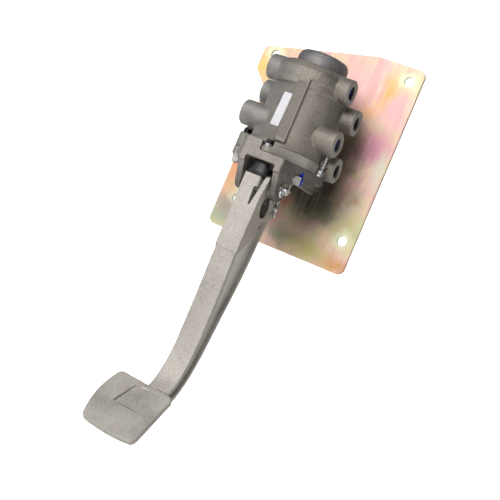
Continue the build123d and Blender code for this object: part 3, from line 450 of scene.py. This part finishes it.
def body_finish():
    """The body: a cooler flat side, a sunken panel on the rib with painted shade, cut faces at the
    pipe mouths.
    """
    parts = cast_grain("blasted_body_casting", "#777069", "#969087", "#aaa39b", 0.68, 0.5)
    material, tree, shader, place, tint, bumps = parts
    cool_side = span(tree, split(tree, place)[0], 0.004, -0.030, 0.0, 0.8)
    cool_tint = ramp(tree, noise(tree, place, 9.0, 3.0), [(0.3, "#84837f"), (0.7, "#a3a19d")])
    tint = blend_colours(tree, cool_side, tint, cool_tint)
    flange = box_patch(tree, place, *FLANGE_BAND, 0.9)
    tint = lay(tree, tint, flange, 0.6, "#bab5ae")
    # Painted shade: the sunken panel on the rib is darkened, and a bump presses it in.
    panel = box_patch(tree, place, *SHADED_RIB_PANEL, 0.93)
    tint = lay(tree, tint, panel, 0.5, "#6f6a65")
    folded = folded_over(tree, place)
    long_mouths = box_patch(tree, folded, *LONG_MOUTHS)
    upper_mouths = box_patch(tree, folded, *UPPER_MOUTHS)
    cut = calculate(tree, "MAXIMUM", long_mouths, upper_mouths)
    tint = lay(tree, tint, cut, 0.7, "#a5a3a0")
    return finish_cast((material, tree, shader), tint, bumps + [(panel, 0.8, -0.8)])


def bracket_finish():
    """The bracket: painted shade beside the deck and on its ears, and the stripe of marking paint.
    """
    parts = cast_grain("blasted_bracket_casting", "#7e7872", "#9c9690", "#b0aba5", 0.66, 0.45)
    material, tree, shader, place, tint, bumps = parts
    across, _, height = split(tree, place)
    # Painted shade: darker beside the deck, past the right ear, and low on the ears.
    beside = span(tree, across, 0.0265, 0.0285, 0.0, 0.55)
    ears = span(tree, height, -0.072, -0.060, 0.45, 0.0)
    painted_shade = calculate(tree, "MAXIMUM", beside, ears)
    tint = blend_colours(tree, painted_shade, tint, colour("#4d4741"))
    tint = blend_colours(tree, paint_stripe(tree, place), tint, colour(PAINT_BLUE))
    return finish_cast((material, tree, shader), tint, bumps)


def arm_finish():
    """The pedal, with painted light on the sideways faces of its web and painted shade inside the
    hole in its cheeks.
    """
    parts = cast_grain("blasted_pedal_casting", "#a09b94", "#b9b4ad", "#c9c5be", 0.66, 0.4)
    material, tree, shader, place, tint, bumps = parts
    normal = tree.nodes["Texture Coordinate"].outputs["Normal"]
    sideways = size_of(tree, split(tree, normal)[0])
    # Painted light: faces of the web that look sideways are laid over with a paler colour.
    web = box_patch(tree, place, *ARM_WEB_LIGHT, 0.97)
    tint = lay(tree, tint, web, span(tree, sideways, 0.7, 0.9, 0.0, 0.6), "#e9e5df")
    # Painted shade: the walls inside the hole through the cheeks are darkened.
    hole = round_patch(tree, place, *CHEEK_HOLE_SHADE, 0.95)
    tint = lay(tree, tint, hole, span(tree, sideways, 0.3, 0.6, 0.8, 0.0), "#3b2b21")
    return finish_cast((material, tree, shader), tint, bumps)


def plain_cast(*look):
    material, tree, shader, place, tint, bumps = cast_grain(*look)
    return finish_cast((material, tree, shader), tint, bumps)


def paint_stripe(tree, place):
    """1 on a brush stroke of marking paint across the right shoulder and its bolt."""
    product = {"operation": "DOT_PRODUCT"}
    along = add(tree, "ShaderNodeVectorMath", product, n0=place, n1=STRIPE_NORMAL).outputs["Value"]
    wobble = span(tree, noise(tree, place, 1.6, 2.0), 0.3, 0.7, -0.0002, 0.0002)
    off = calculate(tree, "ADD", calculate(tree, "SUBTRACT", along, STRIPE_OFFSET), wobble)
    stroke = span(tree, size_of(tree, off), 0.0014, 0.0018, 1.0, 0.0)
    shoulder = round_patch(tree, place, *PAINTED_SHOULDER, 0.9)
    return calculate(tree, "MULTIPLY", stroke, shoulder)


body_cast = body_finish()
bracket_cast = bracket_finish()
arm_cast = arm_finish()
cover_cast = plain_cast("dark_cover_casting", "#6b6967", "#838180", "#959392", 0.6, 0.35)
inner_cast = plain_cast("machined_inner_casting", "#a9a9a7", "#c0c0be", "#d0d0ce", 0.38, 0.1)
# The tapped threads inside the pipe mouths are dark grey.
tapped_cast = plain_cast("dark_tapped_thread", "#3c3b3a", "#4a4947", "#5c5a58", 0.42, 0.1)

# %% [markdown]
# ## Yellow-chromate zinc
#
# The plate is steel sheet, zinc plated and dipped in yellow chromate. The film
# is so thin that its colour wanders between straw, pink and green. It runs down
# the sheet in faint streaks about 2 mm wide, gathers in stains where the sheet
# drained, and stays pale round each hole. The rough film also mirrors the dark
# casting that stands before it, and the casting shades it, so three brown clouds
# without an outline are laid on its front as a painted reflection and shadow.
# Stains and clouds are written as a place, a reach, a colour and a strength, in
# millimetres on the sheet.

# %% Plate finish
STAINS = [
    ((-105, 80), (26, 28), "#f2c66a", 0.9),
    ((-62, 108), (34, 14), "#edbd96", 0.8),
    ((-88, -50), (20, 62), "#e0946a", 0.85),
    ((-78, -104), (20, 18), "#c98f94", 0.6),
    ((-86, -124), (26, 14), "#a9bd93", 0.8),
    ((20, 102), (46, 40), "#e9aeb0", 0.8),
    ((84, 72), (24, 44), "#e2a5ae", 0.8),
    ((62, 96), (15, 34), "#eba35c", 0.85),
    ((48, 66), (18, 15), "#e8a876", 0.7),
    ((72, 26), (34, 30), "#d48ca6", 0.8),
    ((94, 2), (18, 30), "#c9d3bb", 0.7),
    ((54, -66), (36, 26), "#93a67c", 0.7),
    ((78, -78), (26, 26), "#b9b173", 0.6),
    ((75, -42), (19, 15), "#a9b58e", 0.8),
    ((75, -42), (12, 9), "#b98a76", 0.9),
    ((-11, -76), (14, 16), "#c9714e", 0.8),
    ((-14, -98), (16, 10), "#d98a8e", 0.7),
    ((6, -114), (34, 14), "#7f9672", 0.8),
    ((42, -120), (40, 16), "#b1a45f", 0.8),
    ((82, -126), (30, 12), "#c98f52", 0.85),
    ((-84, -110), (28, 26), "#8f9088", 0.75),
]
# Painted shadow and reflection of the casting on the sheet: place, reach and strength.
SHADOW_CLOUDS = [((12, -28), (64, 104), 0.95), ((34, 4), (34, 52), 0.7), ((26, -56), (40, 36), 0.8)]
HOLES = [(81, -94), (81, 116), (-70, -94), (-98, 94.5)]
SHEET_MIDDLE_Y = -2.5
THROUGH_SHEET = 60
HOLE_RING = 15
WANDER_REACH = 0.028
SHEET_STOPS = [
    (0.30, "#a3b58d"),
    (0.40, "#cfc49c"),
    (0.48, "#dcbfa2"),
    (0.55, "#d9aeaa"),
    (0.64, "#dba383"),
    (0.74, "#cdbfa0"),
]


def sheet_patch(tree, place, x, z, reach_x, reach_z, core):
    """A soft patch on the sheet that goes through its thickness."""
    centre = (x, SHEET_MIDDLE_Y, z)
    return round_patch(tree, place, centre, (reach_x, THROUGH_SHEET, reach_z), core)


def wandering(tree, place):
    """Coordinates shifted by a slow noise, so that a patch has a ragged outline."""
    look = {"Scale": 1000 / 30, "Detail": 3.0, "Roughness": 0.6}
    drawn = add(tree, "ShaderNodeTexNoise", None, Vector=place, **look).outputs["Color"]
    middle = (0.5, 0.5, 0.5)
    shift = add(tree, "ShaderNodeVectorMath", {"operation": "SUBTRACT"}, n0=drawn, n1=middle)
    scaled = {"n0": shift.outputs[0], "Scale": WANDER_REACH}
    step = add(tree, "ShaderNodeVectorMath", {"operation": "SCALE"}, **scaled)
    moved = {"n0": place, "n1": step.outputs[0]}
    return add(tree, "ShaderNodeVectorMath", {"operation": "ADD"}, **moved).outputs[0]


def plate_finish():
    material, tree, shader, place = start("yellow_chromate_plating", 0.35, 0.5)
    loose = wandering(tree, place)
    drift = noise(tree, place, 34.0, 3.0)
    streak = noise(tree, place, 2.0, 2.0, 0.5, (1.0, 1.0, 0.07))
    tint = ramp(tree, blend_values(tree, 0.25, drift, streak), SHEET_STOPS)
    for spot, reach, stain, strength in STAINS:
        tint = lay(tree, tint, sheet_patch(tree, loose, *spot, *reach, 0.15), strength, stain)
    # Painted shadow and reflection: dark clouds laid only on the front face of the sheet.
    on_front = span(tree, split(tree, place)[1], -0.004, -0.001, 1.0, 0.0)
    for spot, reach, strength in SHADOW_CLOUDS:
        shadow_cloud = sheet_patch(tree, loose, *spot, *reach, 0.4)
        tint = lay(tree, tint, calculate(tree, "MULTIPLY", shadow_cloud, on_front), strength, "#2b251b")
    for spot in HOLES:
        ring = sheet_patch(tree, loose, *spot, HOLE_RING, HOLE_RING, 0.45)
        tint = lay(tree, tint, ring, 0.75, "#dfe6c4")
    lines = span(tree, streak, 0.35, 0.65, 0.0, 0.14)
    tint = blend_colours(tree, lines, tint, colour("#b0a890"))
    uneven = span(tree, streak, 0.35, 0.65, 0.44, 0.54)
    tree.links.new(tint, shader.inputs["Base Color"])
    tree.links.new(uneven, shader.inputs["Roughness"])
    bumped(tree, shader, [(noise(tree, place, 1.4, 2.0), 0.12, 0.2)])
    return material


plate_zinc = plate_finish()

# %% [markdown]
# ## Small parts
#
# Screws and pins are bright zinc, the clamp screws are blackened, the springs
# are oiled wire and the boot and bumper are black rubber. Each gets a fine
# pattern of its own, because even a small part isn't one flat colour.

# %% Small finishes
def fine_finish(name, low, high, metallic, roughness, pattern_mm, depth, marked=False):
    material, tree, shader, place = start(name, metallic, roughness)
    pattern = noise(tree, place, pattern_mm, 3.0, 0.6)
    tint = ramp(tree, pattern, [(0.35, low), (0.65, high)])
    if marked:
        tint = blend_colours(tree, paint_stripe(tree, place), tint, colour(PAINT_BLUE))
    uneven = span(tree, pattern, 0.3, 0.7, roughness - 0.05, roughness + 0.07)
    tree.links.new(tint, shader.inputs["Base Color"])
    tree.links.new(uneven, shader.inputs["Roughness"])
    bumped(tree, shader, [(pattern, depth, 0.3)])
    return material


bright_zinc = fine_finish("bright_zinc_plating", "#b4b5b8", "#d9dadc", 1.0, 0.26, 1.2, 0.15)
marked_zinc = fine_finish("marked_zinc_plating", "#c4c4c1", "#e4e3de", 0.7, 0.34, 1.2, 0.15, True)
black_oxide = fine_finish("black_oxide_steel", "#2b2b2c", "#414041", 1.0, 0.38, 1.2, 0.2)
ground_steel = fine_finish("ground_steel", "#8e9094", "#b2b4b8", 1.0, 0.25, 0.6, 0.1)
spring_wire = fine_finish("oiled_spring_wire", "#55585e", "#74777d", 1.0, 0.35, 0.6, 0.1)
bronze = fine_finish("sintered_bronze", "#8f6a3c", "#b98d55", 1.0, 0.45, 0.5, 0.2)
rubber = fine_finish("moulded_black_rubber", "#0f0f10", "#1e1d1f", 0.0, 0.5, 1.6, 0.5)
# The bumper rubber is a darker black than the other rubber.
bumper_rubber = fine_finish("darker_bumper_rubber", "#060606", "#0e0e0f", 0.0, 0.42, 1.6, 0.5)
blue_plastic = fine_finish("moulded_blue_polyethylene", "#1d3fae", "#2a55cc", 0.0, 0.42, 1.5, 0.1)
dark_plastic = fine_finish("moulded_dark_nylon", "#26272a", "#35363a", 0.0, 0.45, 1.0, 0.1)
label_film = fine_finish("white_label_film", "#cfcdd1", "#d9d7db", 0.0, 0.5, 2.0, 0.05)

# %% [markdown]
# ## Soft edges of a casting
#
# A sand casting has no sharp corners: every edge and every joint between two
# forms is rounded by a millimetre or two. The solids have crisp corners, so a
# copy of each casting is merged, rebuilt as an even skin and relaxed a little,
# which rounds its corners outside and inside alike. The rebuilt skin is dense,
# so it is thinned again where it is flat.

# %% Round the castings
KEPT_SHARE = 0.4
PEDAL_CREASE_Z = -158
CREASE_BAND = 10
CREASE_ROUNDS = 12
CREASE_OUT = 12.8


def settle(made):
    """Applies an object's modifiers and leaves a plain mesh."""
    shape = made.evaluated_get(bpy.context.evaluated_depsgraph_get())
    mesh = bpy.data.meshes.new_from_object(shape)
    made.modifiers.clear()
    made.data = mesh


def soften_crease(made, crease_z):
    """Relaxes the sides in a band round one height, where a step should be a gentle taper."""
    bm = bmesh.new()
    bm.from_mesh(made.data)
    near = [v for v in bm.verts if abs(v.co.z - crease_z / 1000) < CREASE_BAND / 1000]
    band = [v for v in near if abs(v.co.x) > CREASE_OUT / 1000]
    only_x = {"use_axis_x": True, "use_axis_y": False, "use_axis_z": False}
    for _ in range(CREASE_ROUNDS):
        bmesh.ops.smooth_vert(bm, verts=band, factor=0.5, **only_x)
    bm.to_mesh(made.data)
    bm.free()


def cast_copy(node_name, name, voxel_mm, rounds, finish, crease_z=None):
    """Shows a rounded copy of a casting in place of its solid."""
    made = merged_copy(node_name, name)
    skin = made.modifiers.new("skin", "REMESH")
    skin.mode = "VOXEL"
    skin.voxel_size = voxel_mm / 1000
    relax = made.modifiers.new("relax", "SMOOTH")
    relax.factor = 0.5
    relax.iterations = rounds
    thin = made.modifiers.new("thin", "DECIMATE")
    thin.ratio = KEPT_SHARE
    settle(made)
    if crease_z:
        soften_crease(made, crease_z)
    smooth(made.data)
    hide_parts(node_name)
    join_object(made, finish, nodes[node_name]["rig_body"])


cast_copy("valve_body", "valve_casting", 0.9, 4, body_cast)
cast_copy("pedal_bracket", "bracket_casting", 0.8, 4, bracket_cast)
cast_copy("pedal_arm", "pedal_casting", 0.9, 3, arm_cast, PEDAL_CREASE_Z)

# %% [markdown]
# ## Threads
#
# The pipe mouths are tapped, and the thin stud beside the body and the stop
# screw behind the pedal are threaded where they stand bare. A thread is one
# ridge profile that is turned about its axis while it moves along it.

# %% Wind the threads
THREAD_STEPS = 24


def thread(bm, start_mm, axis, radius_mm, pitch_mm, turns, ridge_mm):
    """Winds one ridge round an axis. A negative ridge stands inwards, as in a tap."""
    axis = Vector(axis)
    side = axis.orthogonal().normalized()
    origin = Vector(start_mm) / 1000
    ridge = [(0, -0.48), (ridge_mm, -0.1), (ridge_mm, 0.1), (0, 0.48)]
    verts = []
    for out, along in ridge:
        corner = side * (radius_mm + out) + axis * pitch_mm * along
        verts.append(bm.verts.new(origin + corner / 1000))
    edges = [bm.edges.new(pair) for pair in zip(verts, verts[1:])]
    steps = round(turns * THREAD_STEPS)
    rise = axis * (pitch_mm * turns / steps / 1000)
    bmesh.ops.spin(
        bm,
        geom=verts + edges,
        cent=origin,
        axis=axis,
        dvec=rise,
        angle=math.tau * turns,
        steps=steps,
        use_duplicate=False,
    )


VALVE_Y = -82.0
PORT_OFFSET = 15.0
PORTS = [(-1, 64.0, 54.0), (1, 37.0, 63.0), (-1, 2.0, 63.0), (1, -23.5, 63.0)]
PORT_RADIUS = 8.2
PORT_PITCH = 1.5
PORT_RIDGE = -0.7
MOUTH_STEP = 1.2
TAPPED_DEPTH = 13.0
SLEEVE_RECESS = 5.0
# Start, axis, radius, pitch, turns and ridge of the two bare screws
STUD_THREAD = ((52.3, -86.0, -31.6), (0, 0, 1), 1.95, 0.8, 22, 0.2)
STOP_SCREW_THREAD = ((0, -65.2, -116.0), (0, 1, 0), 2.95, 1.0, 6, 0.4)


def join_thread(bm, name, finish, body):
    bmesh.ops.recalc_face_normals(bm, faces=bm.faces)
    join_object(object_from(bm, name), finish, body)


bm = bmesh.new()
for y_side, port_z, reach in PORTS:
    for x_side in (-1, 1):
        sleeved = x_side > 0 and y_side < 0
        tapped = SLEEVE_RECESS - MOUTH_STEP if sleeved else TAPPED_DEPTH
        mouth_x = x_side * (reach - MOUTH_STEP - PORT_PITCH / 2)
        mouth = (mouth_x, VALVE_Y + y_side * PORT_OFFSET, port_z)
        turns = round(tapped / PORT_PITCH) - 1
        thread(bm, mouth, (-x_side, 0, 0), PORT_RADIUS, PORT_PITCH, turns, PORT_RIDGE)
join_thread(bm, "port_threads", tapped_cast, "housing")

bm = bmesh.new()
thread(bm, *STUD_THREAD)
join_thread(bm, "stud_thread", bright_zinc, "housing")

bm = bmesh.new()
thread(bm, *STOP_SCREW_THREAD)
join_thread(bm, "stop_screw_thread", bright_zinc, "pedal")

# %% [markdown]
# ## The label on the flat side
#
# A white film label is stuck on the body's flat side. It is a rounded
# rectangle laid in the plane of that side, a little askew. It is plastic film.

# %% Stick on the label
LABEL_WIDTH = 17.5
LABEL_HEIGHT = 41.0
LABEL_CORNER = 1.2
LABEL_THICKNESS = 0.25
LABEL_TILT = math.radians(-4)
FLAT_ANGLE = math.radians(237)
FLAT_DISTANCE = 39.5
LABEL_ALONG = 14.3
LABEL_Z = 16.0
outward = Vector((math.cos(FLAT_ANGLE), math.sin(FLAT_ANGLE), 0))
sideways = Vector((-outward.y, outward.x, 0))
upright = Vector((0, 0, 1))
centre = Vector((0, VALVE_Y, LABEL_Z)) + outward * FLAT_DISTANCE + sideways * LABEL_ALONG
turn = Matrix((sideways, upright, outward)).transposed().to_4x4()
stretch = Matrix.Diagonal((LABEL_WIDTH / 1000, LABEL_HEIGHT / 1000, 1, 1))
bm = bmesh.new()
bmesh.ops.create_grid(bm, x_segments=1, y_segments=1, size=0.5)
bmesh.ops.transform(bm, matrix=stretch, verts=bm.verts)
bmesh.ops.bevel(
    bm,
    geom=bm.verts[:],
    offset=LABEL_CORNER / 1000,
    affect="VERTICES",
    segments=4,
    profile=0.5,
    material=-1,
)
film = bmesh.ops.extrude_face_region(bm, geom=bm.faces[:])
lifted = [v for v in film["geom"] if isinstance(v, bmesh.types.BMVert)]
bmesh.ops.translate(bm, vec=(0, 0, LABEL_THICKNESS / 1000), verts=lifted)
bmesh.ops.transform(
    bm,
    matrix=Matrix.Translation(centre / 1000) @ turn @ Matrix.Rotation(LABEL_TILT, 4, "Z"),
    verts=bm.verts,
)
bmesh.ops.recalc_face_normals(bm, faces=bm.faces)
join_object(object_from(bm, "body_label"), label_film, "housing")

# %% [markdown]
# ## A finish for every solid
#
# Most of the small hardware is bright zinc, so only the other solids are named.
# The three castings are named too, though their rounded copies are shown.

# %% Give each solid its finish
FINISHES = {
    "mounting_plate": plate_zinc,
    "valve_body": body_cast,
    "exhaust_cover": cover_cast,
    "pedal_bracket": bracket_cast,
    "pedal_arm": arm_cast,
    "port_sleeves": blue_plastic,
    "arm_bushings": bronze,
    "roller": ground_steel,
    "plunger": ground_steel,
    "side_bolts": marked_zinc,
    "cap_screws": black_oxide,
    "left_clamp_bolt": black_oxide,
    "left_clamp_nut": black_oxide,
}
SHARED_FINISHES = [
    (bumper_rubber, ("stop_bumper",)),
    (rubber, ("exhaust_diaphragm", "plunger_boot", "graduating_spring")),
    (rubber, ("primary_ring", "relay_ring", "primary_valve", "secondary_valve")),
    (spring_wire, ("primary_return_spring", "primary_valve_spring")),
    (spring_wire, ("relay_spring", "secondary_valve_spring")),
    (inner_cast, ("primary_piston", "relay_piston", "secondary_seat")),
    (dark_plastic, ("primary_retainer", "secondary_retainer")),
]
for finish, names in SHARED_FINISHES:
    for name in names:
        FINISHES[name] = finish
for name, node in nodes.items():
    node.data.materials.clear()
    node.data.materials.append(FINISHES.get(name, bright_zinc))
print("bright zinc on", sorted(n for n in nodes if n not in FINISHES))

# %% [markdown]
# ## Springs and the boot
#
# The springs inside and the bellows round the plunger get shorter as the pedal
# goes down. The record says which ones, on which joint, and which end stays.
# A smooth copy of each, with a mesh of its own, is shown in place of its solid.

# %% Copy the springs and the boot
for joint in frame["record"]["behaviour"]["joints"]:
    for spring in joint.get("deforming_nodes", ()):
        name = spring["node"]
        made = merged_copy(name, name + "_soft")
        smooth(made.data)
        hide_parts(name)
        join_object(made, FINISHES[name], nodes[name]["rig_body"])
        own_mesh(made)

# %% [markdown]
# ## Sizes
#
# The dressed part must not outgrow the solids, so the box of the solids,
# measured right after the import, is printed.

# %% Print the box of the solids
print("cad", [tuple(round(x, 4) for x in c) for c in solid_box])
